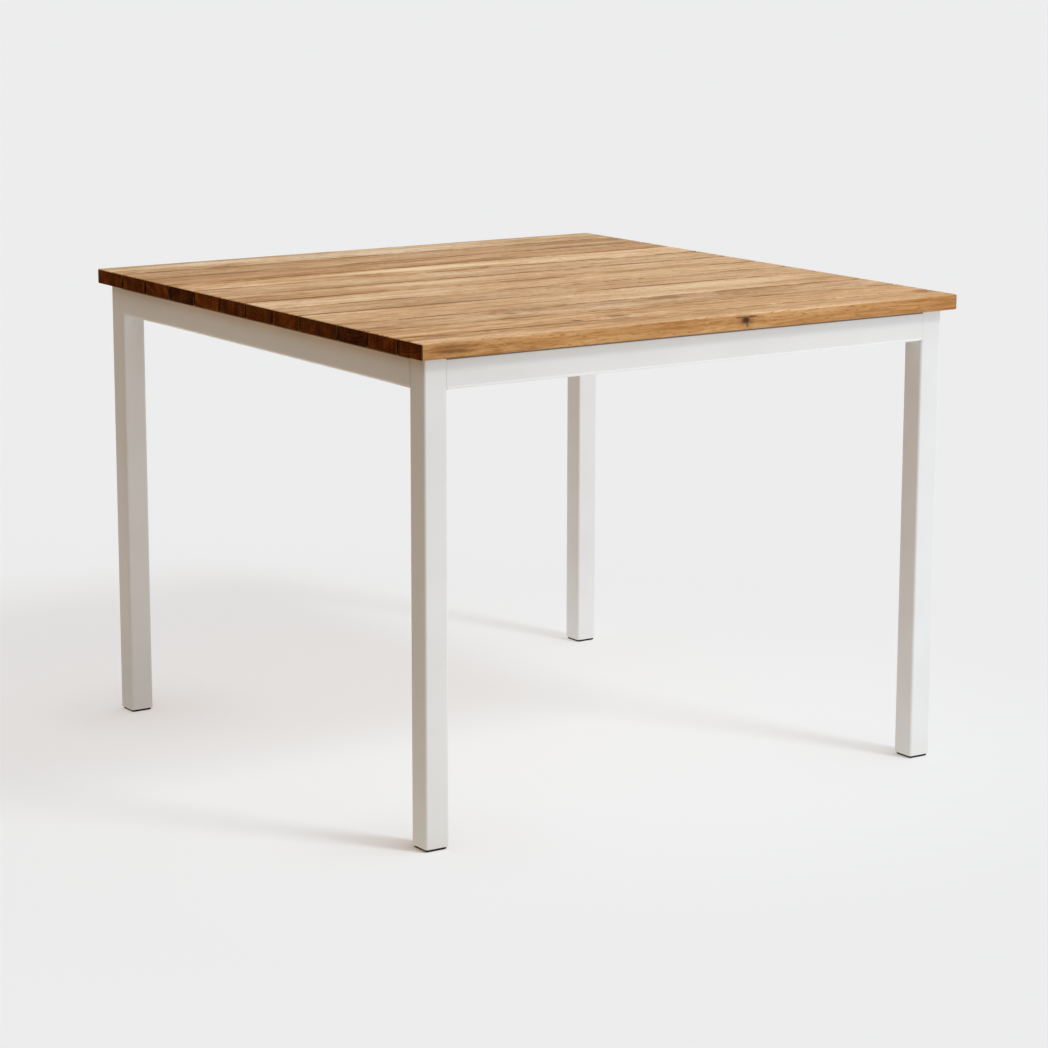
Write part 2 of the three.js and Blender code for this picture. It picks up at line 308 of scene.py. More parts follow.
class Log:
    """The place in a log that a slat was sawn from, as values that its two materials share."""

    def __init__(self, g, index, middle, marks=()):
        rng = random.Random(400 + index)
        self.seed = tuple(rng.uniform(-40, 40) for _ in range(3))
        self.back_seed = self.seed[::-1]
        place = self.place = g.place()
        _, y, z = self.axes = g.parts(place)
        drift_y = g.noise(g.stretched(place, (1.6, 5, 5), self.seed), detail=2)
        drift_z = g.noise(g.stretched(place, (1.3, 4, 4), self.back_seed), detail=2)
        heart_y = middle + rng.uniform(-0.07, 0.07)
        heart_z = SLAT_MIDDLE_HEIGHT + rng.choice((-1, 1)) * rng.uniform(0.05, 0.16)
        away_y = g.add(g.add(y, -heart_y), g.mapped(drift_y, 0, 1, -0.035, 0.035, smooth=False))
        away_z = g.add(g.add(z, -heart_z), g.mapped(drift_z, 0, 1, -0.05, 0.05, smooth=False))
        self.marks = []
        for mark in marks:
            away_z = self.add_mark(g, away_z, *mark)
        radius = g.math("SQRT", g.add(g.times(away_y, away_y), g.times(away_z, away_z)))
        ripple = g.noise(g.stretched(place, (6, 60, 60), self.seed), detail=3)
        phase = g.add(g.times(radius, 1 / RING_SPACING), g.times(ripple, 0.9))
        self.late = g.ramp(g.math("FRACT", phase), (
            (0, (0.1,) * 3), (0.5, (0.3,) * 3), (0.86, (1,) * 3), (1, (0.1,) * 3)))
        ring_place = g.node("ShaderNodeCombineXYZ", {0: g.times(radius, 95.0), 1: index * 3.7})
        self.years = g.noise(ring_place.outputs[0], detail=2)

    def add_mark(self, g, away_z, kind, centre, radii, depth):
        """Keeps a mark's strength, and pulls the rings round it unless it is a pale one."""
        squares = 0.0
        for axis, middle, radius in zip(self.axes, centre, radii):
            offset = g.times(g.add(axis, -middle), 1 / radius)
            squares = g.add(squares, g.times(offset, offset))
        far = g.math("SQRT", squares)
        ragged = g.noise(g.stretched(self.place, (90, 200, 200), self.seed), detail=3)
        far = g.add(far, g.mapped(ragged, 0, 1, -0.4, 0.4, smooth=False))
        self.marks.append((kind, g.mapped(far, 0.35, 1.35, depth, 0)))
        if kind == "pale":
            return away_z
        return g.add(away_z, g.times(g.mapped(far, 0, 3.5, 1, 0), -2.5 * radii[1]))


def blended(g, start, *shares):
    """A first value plus the swings of others about their middle, each with its share."""
    tone = start
    for value, share in shares:
        tone = g.add(tone, g.times(g.add(value, -0.5), share))
    return tone


def wood_material(index, middle, width, inner_sides, marks):
    """Oiled wood along the grain. Sides that face another slat darken towards the gap, partly a
    real stain and partly painted shade, and the gap below the eased edges gets painted shade.
    """
    material, g = new_material(f"wood_{index + 1:02d}")
    log = Log(g, index, middle, marks)
    place, seed = log.place, log.seed
    fibres = g.noise(g.stretched(place, (18, 700, 700), seed), detail=3, roughness=0.6)
    flecks = g.noise(g.stretched(place, (26, 110, 300), seed), detail=3, roughness=0.62)
    fine = g.noise(g.stretched(place, (7, 170, 190), seed), detail=4, roughness=0.66)
    streaks = g.noise(g.stretched(place, (2.2, 60, 70), seed), detail=4, roughness=0.65)
    bands = g.noise(g.stretched(place, (1.0, 17, 19), log.back_seed), detail=2)
    clouds = g.noise(g.stretched(place, (4, 10, 10), seed), detail=2)
    pores = g.noise(g.stretched(place, (75, 260, 520), seed), detail=2)
    # The wood darkens towards its left end: painted shade, as the light comes from the right.
    start = g.add(g.times(log.late, 0.18), g.mapped(log.axes[0], -0.52, -0.05, 0.46, 0.38))
    tone = blended(
        g, start, (log.years, 0.7), (fibres, 0.4), (flecks, 0.95), (fine, 0.95),
        (streaks, 1.2), (bands, 1.0), (clouds, 0.6)
    )
    face = g.ramp(tone, (
        (0.0, WOOD_PALE), (0.42, WOOD_MIDDLE), (0.80, WOOD_BROWN), (1.0, WOOD_DARK)))
    pore = g.mapped(pores, 0.57, 0.68, 0, 0.75)
    face = g.mix(pore, face, WOOD_BROWN)
    for kind, strength in log.marks:
        broken = 1.0 if kind == "knot" else g.mapped(fine, 0.36, 0.60, 0.45, 1.0)
        face = g.mix(g.times(strength, broken), face, MARK_TINTS[kind])
    level, warmth = TOP_TONES[index]
    tint = (level, level * (1 - 0.4 * warmth), level * (1 - warmth))
    face = g.mix(1.0, face, tint, "MULTIPLY")
    upward = g.parts(g.node("ShaderNodeNewGeometry").outputs["Normal"])[2]
    upright = g.mapped(upward, 0.25, 0.85, 1, 0)
    face = g.mix(upright, face, g.mix(1.0, face, SIDE_TINT, "MULTIPLY"))

    ragged = g.noise(g.stretched(place, (9, 30, 30), seed), detail=4, roughness=0.65)
    reach = g.mapped(ragged, 0.40, 0.70, 0.6 * MM, 7 * MM)
    across = g.add(log.axes[1], -middle)
    sunken = g.mapped(log.axes[2], *SUNKEN_HEIGHTS, 1, 0)
    for side in inner_sides:
        from_edge = g.add(g.times(across, -side), width / 2)
        # Partly a real stain, partly painted shade of the gap, fading with distance from the edge.
        stain_and_shade = g.math("SUBTRACT", 1.0, g.math("DIVIDE", from_edge, reach))
        face = g.mix(g.mapped(stain_and_shade, 0.0, 0.8, 0, 0.85), face, WOOD_STAIN_AND_SHADE)
        # Painted shade in the gap below the eased edge.
        beside = g.mapped(from_edge, 0.4 * MM, 1.2 * MM, 1, 0)
        face = g.mix(g.times(beside, sunken), face, GAP_PAINTED_SHADE)

    rough = g.mapped(tone, 0.1, 0.9, 0.56, 0.68)
    relief = g.add(g.times(fibres, 0.6), g.add(g.times(log.late, -0.25), g.times(pore, -0.8)))
    bump = g.bump(relief, 0.12 * MM, 0.7)
    g.surface(Base_Color=face, Roughness=rough, IOR=1.44, Specular_IOR_Level=0.3, Normal=bump)
    return material


def end_grain_material(index, middle, width):
    """Sawn ends drink oil and turn dark. The log's rings show as arcs in them."""
    material, g = new_material(f"end_grain_{index + 1:02d}")
    log = Log(g, index, middle)
    speckle = g.noise(g.stretched(log.place, (400, 900, 900), log.seed), detail=3)
    patches = g.noise(g.stretched(log.place, (30, 45, 45), log.seed), detail=3)
    upright = g.noise(g.stretched(log.place, (30, 260, 25), log.seed), detail=3)
    tone = blended(
        g, g.add(g.times(log.late, 0.22), 0.36), (log.years, 0.5), (speckle, 0.45),
        (patches, 0.9), (upright, 0.6)
    )
    color = g.ramp(tone, ((0.1, END_LIGHT), (0.45, END_MIDDLE), (0.9, END_DARK)))
    level = END_TONES[index]
    color = g.mix(1.0, color, (level, level, level), "MULTIPLY")
    across = g.add(log.axes[1], -middle)
    drawn = g.noise(g.stretched(log.place, (9, 30, 70), log.back_seed), detail=2)
    reach = g.mapped(drawn, 0.35, 0.65, 0.5 * MM, 4 * MM)
    from_edge = g.add(g.times(g.math("ABSOLUTE", across), -1.0), width / 2)
    soaked = g.math("SUBTRACT", 1.0, g.math("DIVIDE", from_edge, reach))
    color = g.mix(g.mapped(soaked, 0.0, 0.8, 0, 0.9), color, END_DARK)
    # Painted highlight, in patches, on the rounded edges of the ends that turn towards the front.
    facing = g.parts(g.node("ShaderNodeNewGeometry").outputs["Normal"])[1]
    wear_and_painted_highlight = g.times(g.mapped(facing, -0.35, -0.6), g.mapped(facing, -0.95, -0.8))
    patchy = g.mapped(patches, 0.42, 0.60, 0, 0.6)
    color = g.mix(g.times(wear_and_painted_highlight, patchy), color, END_PAINTED_HIGHLIGHT)
    rough = g.mapped(speckle, 0.3, 0.7, 0.75, 0.95)
    bump = g.bump(g.add(speckle, g.times(log.late, -0.4)), 0.15 * MM, 0.7)
    g.surface(Base_Color=color, Roughness=rough, IOR=1.3, Specular_IOR_Level=0.06, Normal=bump)
    return material


# ---- Other materials ----

COAT_WARM = (0.86, 0.858, 0.85)
COAT_DULL = (0.835, 0.83, 0.815)
# Painted highlight for a rail's rounded lower edge.
COAT_PAINTED_HIGHLIGHT = (0.97, 0.97, 0.965)
# Painted light for front faces just under the slats, lifting their shadow.
COAT_PAINTED_LIGHT = (0.945, 0.985, 1.0)
# Painted shade for a rail's top edge, in the gap under the slats.
COAT_PAINTED_SHADE = (0.09, 0.058, 0.036)
PAINTED_LIGHT_HEIGHTS = (0.698, 0.714)
PAINTED_HIGHLIGHT_HEIGHTS = (0.6835, 0.6815)
PAINTED_SHADE_HEIGHTS = (0.7204, 0.7218)
PLASTIC_BLACK = (0.009, 0.009, 0.0095)
PLASTIC_SCUFFED = (0.030, 0.029, 0.028)
ZINC_BRIGHT = (0.64, 0.66, 0.68)
ZINC_DULL = (0.55, 0.56, 0.56)


def white_coat_material(name, on_rail):
    """Satin powder coat with a slight orange peel, with painted light on the front just under the
    slats that lifts their shadow.

    On a rail it has a line of painted shade where it meets the slats, and a painted highlight on
    the lower edge.
    """
    material, g = new_material(name)
    place = g.place()
    height = g.parts(place)[2]
    peel = g.noise(place, scale=420, detail=2)
    grain = g.noise(place, scale=2600, detail=1)
    clouds = g.noise(place, scale=9, detail=3)
    color = g.mix(g.mapped(clouds, 0.35, 0.7), COAT_WARM, COAT_DULL)
    facing = g.parts(g.node("ShaderNodeNewGeometry").outputs["Normal"])[1]
    # Painted light: front faces just under the slats are lifted out of the slats' shadow.
    painted_light = g.times(g.mapped(height, *PAINTED_LIGHT_HEIGHTS), g.mapped(facing, -0.7, -0.95))
    color = g.mix(g.times(painted_light, 0.9), color, COAT_PAINTED_LIGHT)
    if on_rail:
        # Painted highlight along the rail's lower edge.
        color = g.mix(g.mapped(height, *PAINTED_HIGHLIGHT_HEIGHTS), color, COAT_PAINTED_HIGHLIGHT)
        # Painted shade: a dark line where the rail meets the slats.
        color = g.mix(g.mapped(height, *PAINTED_SHADE_HEIGHTS, 0, 0.9), color, COAT_PAINTED_SHADE)
    rough = g.mapped(clouds, 0.3, 0.7, 0.30, 0.40)
    relief = g.add(peel, g.times(grain, 0.25))
    g.surface(Base_Color=color, Roughness=rough, IOR=1.5, Normal=g.bump(relief, 0.05 * MM, 0.6))
    return material


def black_plastic_material():
    """Moulded plastic with a fine sparked texture and scuffs near the floor."""
    material, g = new_material("black_plastic")
    place = g.place()
    spark = g.noise(place, scale=1800, detail=3)
    scuffs = g.noise(g.stretched(place, (260, 260, 900)), detail=4)
    height = g.parts(place)[2]
    low = g.mapped(height, 0, 2 * MM, 1, 0)
    wear_and_painted_highlight = g.times(g.mapped(scuffs, 0.5, 0.7), low)
    color = g.mix(wear_and_painted_highlight, PLASTIC_BLACK, PLASTIC_SCUFFED)
    rough = g.mapped(spark, 0.3, 0.7, 0.6, 0.75)
    bump = g.bump(spark, 0.06 * MM, 0.5)
    g.surface(Base_Color=color, Roughness=rough, IOR=1.45, Specular_IOR_Level=0.15, Normal=bump)
    return material


def zinc_steel_material():
    """Satin zinc plate with faint clouds and fine drawn lines."""
    material, g = new_material("zinc_steel")
    place = g.place()
    clouds = g.noise(place, scale=55, detail=4)
    lines = g.noise(g.stretched(place, (300, 300, 3500)), detail=3)
    color = g.mix(g.mapped(clouds, 0.35, 0.65), ZINC_BRIGHT, ZINC_DULL)
    rough = g.add(g.mapped(clouds, 0.3, 0.7, 0.38, 0.52), g.mapped(lines, 0.4, 0.6, 0, 0.06))
    bump = g.bump(lines, 0.02 * MM, 0.5)
    g.surface(Base_Color=color, Metallic=0.6, Roughness=rough, Normal=bump)
    return material


# ---- Mesh helpers ----

def rounded_outline(width, height, radius, steps=ARC_STEPS, spans=(1, 1)):
    """Points round a rectangle with round corners, anticlockwise.

    spans says into how many parts the level sides and the upright ones are divided.
    """
    across, up = width / 2 - radius, height / 2 - radius
    centres = ((across, -up, -90), (across, up, 0), (-across, up, 90), (-across, -up, 180))
    points = []
    for corner, (cx, cy, start) in enumerate(centres):
        for step in range(steps + 1):
            angle = math.radians(start + 90 * step / steps)
            points.append((cx + radius * math.cos(angle), cy + radius * math.sin(angle)))
        following = centres[(corner + 1) % 4]
        begin = points[-1]
        angle = math.radians(start + 90)
        end = (following[0] + radius * math.cos(angle), following[1] + radius * math.sin(angle))
        count = spans[(corner + 1) % 2]
        for step in range(1, count):
            share = step / count
            points.append(tuple(a + (b - a) * share for a, b in zip(begin, end)))
    return points


def loft(bm, rings, closed=False):
    """Joins rings of points, each with the same number of points, by four-sided faces."""
    made = [[bm.verts.new(point) for point in ring] for ring in rings]
    pairs = list(zip(made, made[1:]))
    if closed:
        pairs.append((made[-1], made[0]))
    for low, high in pairs:
        for i in range(len(low)):
            j = (i + 1) % len(low)
            bm.faces.new((low[i], low[j], high[j], high[i]))
    return made


def capped_loft(bm, rings):
    made = loft(bm, rings)
    bm.faces.new(list(reversed(made[0])))
    bm.faces.new(made[-1])
    return made


def polar(radius, angle, z=0.0):
    return Vector((radius * math.cos(angle), radius * math.sin(angle), z))


def turned(bm, profile, steps=TURN_STEPS, place=Matrix.Identity(4)):
    """A closed body of revolution about Z. The profile's ends are its flat caps."""
    angles = [2 * math.pi * i / steps for i in range(steps)]
    rings = [[place @ polar(radius, angle, z) for angle in angles] for radius, z in profile]
    return capped_loft(bm, rings)


def arc(cx, cz, radius, start, end, steps=6):
    """Points along an arc between two angles in degrees."""
    angles = (math.radians(start + (end - start) * i / steps) for i in range(steps + 1))
    return [(cx + radius * math.cos(a), cz + radius * math.sin(a)) for a in angles]


def threaded(bm, diameter, length, pitch, point, place=Matrix.Identity(4), steps=24, per_turn=8):
    """A screw thread along +Z from z = 0. It ends in a point of that length, or in a chamfer."""
    depth = 0.55 * pitch if point else 0.6 * pitch
    count = int(length / pitch * per_turn)
    rings = []
    for row in range(count + 1):
        z = length * row / count
        taper = (length - z) / point + 0.08 if point else (length - z) / pitch + 0.75
        taper = min(1.0, taper)
        fade = min(1.0, z / pitch)
        ring = []
        for i in range(steps):
            angle = 2 * math.pi * i / steps
            turn = (z / pitch - i / steps) % 1.0
            ridge = 1 - abs(2 * turn - 1)
            radius = (diameter / 2 - depth * fade * (1 - ridge)) * taper
            ring.append(place @ polar(radius, angle, z))
        rings.append(ring)
    return capped_loft(bm, rings)


def object_from(bm, name):
    bmesh.ops.recalc_face_normals(bm, faces=bm.faces)
    mesh = bpy.data.meshes.new(name)
    bm.to_mesh(mesh)
    bm.free()
    made = bpy.data.objects.new(name, mesh)
    bpy.context.scene.collection.objects.link(made)
    return made


def apply_modifiers(piece):
    depsgraph = bpy.context.evaluated_depsgraph_get()
    mesh = bpy.data.meshes.new_from_object(piece.evaluated_get(depsgraph))
    piece.modifiers.clear()
    piece.data = mesh


def combine(piece, other, operation):
    """Cuts another object from the piece, or joins it to the piece, and deletes it."""
    modifier = piece.modifiers.new("combine", "BOOLEAN")
    modifier.operation = operation
    modifier.solver = "EXACT"
    modifier.object = other
    apply_modifiers(piece)
    bpy.data.objects.remove(other)


def finish_piece(piece, material, slot, *nodes):
    """Smooth shading led by the large faces, a material, and the piece's place in the frame."""
    for polygon in piece.data.polygons:
        polygon.use_smooth = True
    piece.data.set_sharp_from_angle(angle=math.radians(SHARP_ANGLE))
    modifier = piece.modifiers.new("weighted", "WEIGHTED_NORMAL")
    modifier.keep_sharp = True
    if material is not None:
        piece.data.materials.clear()
        piece.data.materials.append(material)
    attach(piece, BODY)
    if nodes:
        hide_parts(*nodes)
    return piece


def middle_and_size(node):
    low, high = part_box(node)
    return (low + high) / 2, high - low


def turn_to(direction, place):
    """Takes +Z to a direction and the origin to a place."""
    return Matrix.Translation(place) @ direction.to_track_quat("Z", "Y").to_matrix().to_4x4()


def rod_along(direction, place, diameter, length, steps=32):
    """A plain rod that cuts a hole."""
    bm = bmesh.new()
    turned(bm, [(diameter / 2, 0), (diameter / 2, length)], steps, turn_to(direction, place))
    return object_from(bm, "cutter")


# ---- Slats ----

# Knots and streaks: kind, middle, radii along each axis, strength.
MARKS = {
    "slat_01": (
        ("dark", (0.078, -0.510, 0.7400), (0.0170, 0.010, 0.0110), 0.55),
        ("knot", (0.077, -0.510, 0.7405), (0.0075, 0.008, 0.0055), 0.95),
        ("knot", (0.090, -0.510, 0.7455), (0.0110, 0.006, 0.0018), 0.80),
        ("knot", (0.065, -0.510, 0.7455), (0.0080, 0.006, 0.0016), 0.70),
        ("knot", (0.080, -0.510, 0.7340), (0.0028, 0.006, 0.0050), 0.55),
        ("dark", (-0.438, -0.510, 0.7390), (0.0420, 0.012, 0.0080), 0.75),
        ("dark", (0.280, -0.510, 0.7465), (0.0120, 0.005, 0.0012), 0.35),
        ("dark", (-0.425, -0.456, 0.7500), (0.0340, 0.0090, 0.006), 0.85),
        ("pale", (0.005, -0.510, 0.7420), (0.0040, 0.006, 0.0020), 0.50),
    ),
    "slat_02": (
        ("dark", (-0.095, -0.420, 0.7500), (0.0230, 0.0135, 0.030), 1.00),
        ("knot", (-0.176, -0.432, 0.7500), (0.0110, 0.0060, 0.010), 0.80),
    ),
    "slat_03": (
        ("dark", (-0.215, -0.315, 0.7500), (0.0150, 0.0120, 0.010), 0.60),
        ("dark", (0.080, -0.292, 0.7500), (0.0380, 0.0160, 0.010), 0.70),
        ("dark", (-0.020, -0.302, 0.7500), (0.0700, 0.0070, 0.010), 0.50),
    ),
    "slat_04": (
        ("dark", (-0.160, -0.266, 0.7500), (0.1200, 0.0090, 0.010), 0.55),
        ("pale", (0.280, -0.205, 0.7500), (0.1600, 0.0260, 0.010), 0.50),
    ),
    "slat_05": (
        ("dark", (-0.230, -0.140, 0.7500), (0.1600, 0.0160, 0.010), 0.40),
    ),
    "slat_07": (
        ("pale", (-0.136, 0.055, 0.7500), (0.1000, 0.0180, 0.010), 0.50),
    ),
    "slat_09": (
        ("pale", (-0.030, 0.218, 0.7500), (0.1700, 0.0180, 0.010), 0.90),
        ("pale", (0.310, 0.247, 0.7500), (0.2400, 0.0090, 0.010), 0.80),
    ),
    "slat_11": (
        ("dark", (0.380, 0.350, 0.7500), (0.1100, 0.0120, 0.010), 0.70),
        ("dark", (-0.300, 0.345, 0.7500), (0.1200, 0.0080, 0.010), 0.60),
    ),
}


def make_slat(index, node):
    """A board whose faces are a hair out of true, with eased edges and ends."""
    middle, size = middle_and_size(node)
    half = size.x / 2
    inner = half - SLAT_END_RADIUS
    ends = []
    for step in range(ARC_STEPS):
        angle = math.radians(90 * step / ARC_STEPS)
        inset = SLAT_END_RADIUS * (1 - math.sin(angle))
        ends.append((-half + SLAT_END_RADIUS - SLAT_END_RADIUS * math.cos(angle), inset))
    run = [(-inner + 2 * inner * s / SLAT_RINGS, 0) for s in range(SLAT_RINGS + 1)]
    stations = ends + run + [(-x, inset) for x, inset in reversed(ends)]
    bm = bmesh.new()
    rings = []
    for x, inset in stations:
        outline = rounded_outline(
            size.y - 2 * inset, size.z - 2 * inset, SLAT_EDGE_RADIUS - inset,
            SLAT_EDGE_STEPS, SLAT_SPANS
        )
        ring = []
        for across, up in outline:
            side = 1 if across > 0 else -1
            sway = noise.noise(Vector((x * 4, side * 3 + index * 7, 1.5)))
            cup = noise.noise(Vector((x * 2, across * 30, index * 5.1)))
            top = max(0.0, up / (size.z / 2))
            dy = -side * SLAT_WAVE * (0.5 + 0.5 * sway)
            dz = -SLAT_HOLLOW * (0.5 + 0.5 * cup) * top
            ring.append(Vector((middle.x + x, middle.y + across + dy, middle.z + up + dz)))
        rings.append(ring)
    capped_loft(bm, rings)
    piece = object_from(bm, "board_" + node[-2:])
    inner_sides = [side for side, edge in ((-1, 0), (1, len(SLATS) - 1)) if index != edge]
    along = wood_material(index, middle.y, size.y, inner_sides, MARKS.get(node, ()))
    piece.data.materials.append(along)
    piece.data.materials.append(end_grain_material(index, middle.y, size.y))
    for polygon in piece.data.polygons:
        if abs(polygon.normal.x) > 0.25 and polygon.normal.z < 0.35:
            polygon.material_index = 1
    return finish_piece(piece, None, "wood", node)


# ---- Frame ----

def corner_signs(node):
    middle, _ = middle_and_size(node)
    return math.copysign(1, middle.x), math.copysign(1, middle.y)


def square_ring(middle, side, corner, z):
    outline = rounded_outline(side, side, corner)
    return [Vector((middle.x + u, middle.y + v, z)) for u, v in outline]


def make_leg(node, coat):
    """A square tube, eased at its foot, with a hole for the bolt through its inner corner."""
    low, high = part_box(node)
    middle, size = middle_and_size(node)
    side = size.x
    bore = side - 2 * TUBE_WALL
    levels = (
        (side - 2 * TUBE_DEBURR, TUBE_CORNER - TUBE_DEBURR, low.z),
        (side - 0.6 * TUBE_DEBURR, TUBE_CORNER - 0.3 * TUBE_DEBURR, low.z + 0.3 * TUBE_DEBURR),
        (side, TUBE_CORNER, low.z + TUBE_DEBURR),
        (side, TUBE_CORNER, high.z),
        (bore, TUBE_CORNER - TUBE_WALL, high.z),
        (bore, TUBE_CORNER - TUBE_WALL, low.z),
    )
    bm = bmesh.new()
    loft(bm, [square_ring(middle, *level) for level in levels], closed=True)
    leg = object_from(bm, "post_" + node[4:])
    sx, sy = corner_signs(node)
    inward = Vector((-sx, -sy, 0)).normalized()
    start = Vector((middle.x, middle.y, APRON_MIDDLE)) + inward * 8 * MM
    combine(leg, rod_along(inward, start, BOLT_HOLE, 24 * MM), "DIFFERENCE")
    return finish_piece(leg, coat, "white_coat", node)


def make_apron(node, coat, lengthwise):
    """A tube along one axis. Its outer wall laps the legs' round edges, so the faces run flush."""
    middle, size = middle_and_size(node)
    crosswise = 1 - lengthwise
    depth = size[crosswise]
    off = abs(middle[crosswise])
    outward = math.copysign(1, middle[crosswise])
    inner_half = size[lengthwise] / 2 - TUBE_CORNER
    rounding = off + depth / 2 - TUBE_CORNER

    def reach(across):
        """How far the tube runs past the legs' inner faces, at this distance from the middle."""
        past = off + outward * across - rounding
        if past <= 0:
            return 0.0
        return TUBE_CORNER - math.sqrt(max(TUBE_CORNER ** 2 - past ** 2, 0.0))

    rings = []
    for wall, ends in ((0, (-1, 1)), (TUBE_WALL, (1, -1))):
        outline = rounded_outline(depth - 2 * wall, size.z - 2 * wall, TUBE_CORNER - wall)
        for end in ends:
            ring = []
            for across, up in outline:
                point = middle.copy()
                point[lengthwise] += end * (inner_half + reach(across))
                point[crosswise] += across
                point.z += up
                ring.append(point)
            rings.append(ring)
    bm = bmesh.new()
    loft(bm, rings, closed=True)
    return finish_piece(object_from(bm, "rail_" + node[6:]), coat, "white_coat", node)


def make_cross_bar(node, coat):
    low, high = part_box(node)
    middle, size = middle_and_size(node)
    rings = []
    for wall, ends in ((0, (low.y, high.y)), (TUBE_WALL, (high.y, low.y))):
        outline = rounded_outline(size.x - 2 * wall, size.z - 2 * wall, TUBE_CORNER - wall)
        for y in ends:
            rings.append([Vector((middle.x + u, y, middle.z + v)) for u, v in outline])
    bm = bmesh.new()
    loft(bm, rings, closed=True)
    return finish_piece(object_from(bm, "bar_" + node[10:]), coat, "white_coat", node)


def spaced(path, step):
    """Points at even steps along a path of straight pieces."""
    points = [path[0].copy()]
    left = step
    for a, b in zip(path, path[1:]):
        length = (b - a).length
        at = left
        while at <= length:
            points.append(a.lerp(b, at / length))
            at += step
        left = at - length
    return points


def make_weld(name, bar, end, coat):
    """A fillet of weld down both sides of a cross bar's end and along its underside."""
    low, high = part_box(bar)
    y = low.y if end < 0 else high.y
    top = high.z - WELD_TOP_GAP
    bend_height = low.z + TUBE_CORNER
    line = [
        (low.x, top),
        *arc(low.x + TUBE_CORNER, bend_height, TUBE_CORNER, 180, 270),
        *arc(high.x - TUBE_CORNER, bend_height, TUBE_CORNER, 270, 360),
        (high.x, top),
    ]
    points = spaced([Vector((x, y, z)) for x, z in line], WELD_STEP)
    last = len(points) - 1
    along_bar = Vector((0, 1, 0))
    rings = []
    for i, point in enumerate(points):
        ahead = points[min(i + 1, last)] - points[max(i - 1, 0)]
        outward = ahead.normalized().cross(along_bar)
        ripple = math.sin(2 * math.pi * i * WELD_STEP / WELD_RIPPLE)
        bead = 1 + 0.16 * ripple + 0.06 * noise.noise(point * 400)
        fade = min(1.0, (min(i, last - i) + 1) / 4)
        radius = WELD_RADIUS * bead * fade
        ring = []
        for step in range(WELD_SIDES):
            angle = 2 * math.pi * step / WELD_SIDES
            offset = 0.9 * math.cos(angle) * outward + math.sin(angle) * along_bar
            ring.append(point + radius * offset)
        rings.append(ring)
    bm = bmesh.new()
    capped_loft(bm, rings)
    return finish_piece(object_from(bm, name), coat, "white_coat")


# ---- Corner hardware ----

def bent(points, radius, steps=6):
    """Rounds the corners of a chain of points. The first and last points stay."""
    points = [Vector((*point, 0)) for point in points]
    made = [points[0]]
    for before, corner, after in zip(points, points[1:], points[2:]):
        one = (before - corner).normalized()
        two = (after - corner).normalized()
        half = one.angle(two) / 2
        reach = radius / math.tan(half)
        centre = corner + (one + two).normalized() * (radius / math.sin(half))
        start = corner + one * reach - centre
        end = corner + two * reach - centre
        turn = start.angle(end)
        axis = start.cross(end).normalized()
        for step in range(steps + 1):
            made.append(centre + Matrix.Rotation(turn * step / steps, 3, axis) @ start)
    made.append(points[-1])
    return made


def shrunk(outline, by):
    """The closed outline moved inwards."""
    following = outline[1:] + outline[:1]
    area = sum(a.x * b.y - b.x * a.y for a, b in zip(outline, following))
    side = 1 if area > 0 else -1
    made = []
    for before, point, after in zip(outline[-1:] + outline[:-1], outline, following):
        sides = ((point - before).normalized(), (after - point).normalized())
        normals = [Vector((-d.y, d.x, 0)) * side for d in sides]
        joint = (normals[0] + normals[1]).normalized()
        made.append(point + joint * by / max(0.4, joint.dot(normals[0])))
    return made


def make_corner_plate(node, zinc):
    """A strip bent round the leg's inner corner, with a wing flat against each apron."""
    low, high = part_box(node)
    sx, sy = corner_signs(node)
    back = -PLATE_SETBACK
    face = back + PLATE_THICKNESS
    bend = PLATE_REACH + PLATE_THICKNESS * math.tan(math.pi / 8)
    end = PLATE_REACH + PLATE_WING
    outer = bent(
        ((back, end), (back, PLATE_REACH), (PLATE_REACH, back), (end, back)), PLATE_BEND_RADIUS)
    inner = bent(
        ((end, face), (bend, face), (face, bend), (face, end)), PLATE_BEND_RADIUS + PLATE_THICKNESS)
    outline = outer + inner
    eased = shrunk(outline, PLATE_EASE)
    levels = (
        (eased, low.z),
        (outline, low.z + PLATE_EASE),
        (outline, high.z - PLATE_EASE),
        (eased, high.z),
    )
    rings = []
    for line, z in levels:
        flat = ((sx * (LEG_INNER_X - p.x), sy * (LEG_INNER_Y - p.y)) for p in line)
        rings.append([Vector((x, y, z)) for x, y in flat])
    bm = bmesh.new()
    made = loft(bm, rings)
    for ring in (made[0], made[-1]):
        for i in range(len(outer) - 1):
            bm.faces.new((ring[i], ring[i + 1], ring[-2 - i], ring[-1 - i]))
    plate = object_from(bm, "bracket_" + node[13:])
    inward = Vector((-sx, -sy, 0)).normalized()
    start = Vector((sx * LEG_INNER_X, sy * LEG_INNER_Y, APRON_MIDDLE))
    combine(plate, rod_along(inward, start, BOLT_HOLE, 40 * MM), "DIFFERENCE")
    return finish_piece(plate, zinc, "zinc_steel", node)


